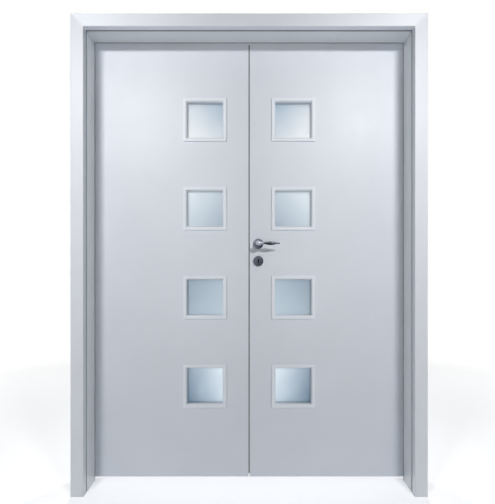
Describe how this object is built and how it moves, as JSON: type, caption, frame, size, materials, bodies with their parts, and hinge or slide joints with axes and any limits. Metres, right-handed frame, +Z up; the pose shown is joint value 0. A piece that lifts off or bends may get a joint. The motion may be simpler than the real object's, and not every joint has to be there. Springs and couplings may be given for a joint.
{
  "type": "french doors",
  "caption": "Double door with flush glazed leaves, square frosted panes, lever handle, lock and flush bolts, hung in a lined and cased frame.",
  "frame": {"origin": "on the floor, in the middle of the width and of the overall depth", "axes": "+X to the right and +Z up as seen from the cased front, +Y through the doorway to the side the leaves open to"},
  "size_m": [1.566, 0.242, 2.091],
  "materials": {
    "white_paint": "satin white paint on wood board",
    "leaf_core": "solid timber core with painted edges",
    "frosted_glass": "etched, translucent",
    "seal_rubber": "soft matt grey",
    "brush_pile": "dense nylon pile",
    "handle_metal": "polished dark nickel",
    "plated_steel": "satin zinc plate"
  },
  "bodies": {
    "frame": {"left_jamb_lining": "white_paint", "right_jamb_lining": "white_paint", "head_lining": "white_paint", "front_casing_left": "white_paint", "front_casing_right": "white_paint", "front_casing_head": "white_paint", "back_casing_left": "white_paint", "back_casing_right": "white_paint", "back_casing_head": "white_paint", "left_stop_seal": "seal_rubber", "right_stop_seal": "seal_rubber", "head_stop_seal": "seal_rubber", "left_hinge_frame_halves": "plated_steel", "right_hinge_frame_halves": "plated_steel", "left_hinge_pins": "plated_steel", "right_hinge_pins": "plated_steel", "left_hinge_washers": "seal_rubber", "right_hinge_washers": "seal_rubber", "head_bolt_keep": "plated_steel"},
    "left_leaf": {"left_leaf_core": "leaf_core", "left_leaf_front_facing": "white_paint", "left_leaf_back_facing": "white_paint", "left_pane_1": "frosted_glass", "left_pane_2": "frosted_glass", "left_pane_3": "frosted_glass", "left_pane_4": "frosted_glass", "left_front_beads": "white_paint", "left_back_beads": "white_paint", "left_hinge_leaf_halves": "plated_steel", "strike_plate": "plated_steel", "meeting_brush": "brush_pile", "upper_bolt_case": "plated_steel", "lower_bolt_case": "plated_steel"},
    "right_leaf": {"right_leaf_core": "leaf_core", "right_leaf_front_facing": "white_paint", "right_leaf_back_facing": "white_paint", "right_pane_1": "frosted_glass", "right_pane_2": "frosted_glass", "right_pane_3": "frosted_glass", "right_pane_4": "frosted_glass", "right_front_beads": "white_paint", "right_back_beads": "white_paint", "right_hinge_leaf_halves": "plated_steel", "lock_case": "plated_steel", "lock_face_plate": "plated_steel", "front_rose": "handle_metal", "back_rose": "handle_metal", "front_key_plate": "handle_metal", "back_key_plate": "handle_metal"},
    "lever": {"front_lever": "handle_metal", "back_lever": "handle_metal", "spindle": "plated_steel", "follower": "plated_steel"},
    "latch": {"latch_bolt": "plated_steel"},
    "dead_bolt": {"dead_bolt": "plated_steel"},
    "upper_bolt": {"upper_bolt_rod": "plated_steel"},
    "lower_bolt": {"lower_bolt_rod": "plated_steel"}
  },
  "joints": [
    {"name": "left_leaf_swing", "type": "hinge", "parent": "frame", "child": "left_leaf", "pos_m": [-0.7225, 0.0655, 1.015], "axis": [0, 0, 1], "range_deg": [0, 170]},
    {"name": "right_leaf_swing", "type": "hinge", "parent": "frame", "child": "right_leaf", "pos_m": [0.7225, 0.0655, 1.015], "axis": [0, 0, -1], "range_deg": [0, 170]},
    {"name": "lever_turn", "type": "hinge", "parent": "right_leaf", "child": "lever", "pos_m": [0.04225, 0.039, 1.093], "axis": [0, 1, 0], "range_deg": [0, 40], "stiffness_Nm_per_rad": 0.8, "springref_deg": -28.65},
    {"name": "latch_slide", "type": "slide", "parent": "right_leaf", "child": "latch", "axis": [-1, 0, 0], "range_m": [0, 0.011]},
    {"name": "dead_bolt_slide", "type": "slide", "parent": "right_leaf", "child": "dead_bolt", "axis": [-1, 0, 0], "range_m": [0, 0.014]},
    {"name": "upper_bolt_slide", "type": "slide", "parent": "left_leaf", "child": "upper_bolt", "axis": [0, 0, 1], "range_m": [0, 0.015]},
    {"name": "lower_bolt_slide", "type": "slide", "parent": "left_leaf", "child": "lower_bolt", "axis": [0, 0, -1], "range_m": [0, 0.028]}
  ]
}
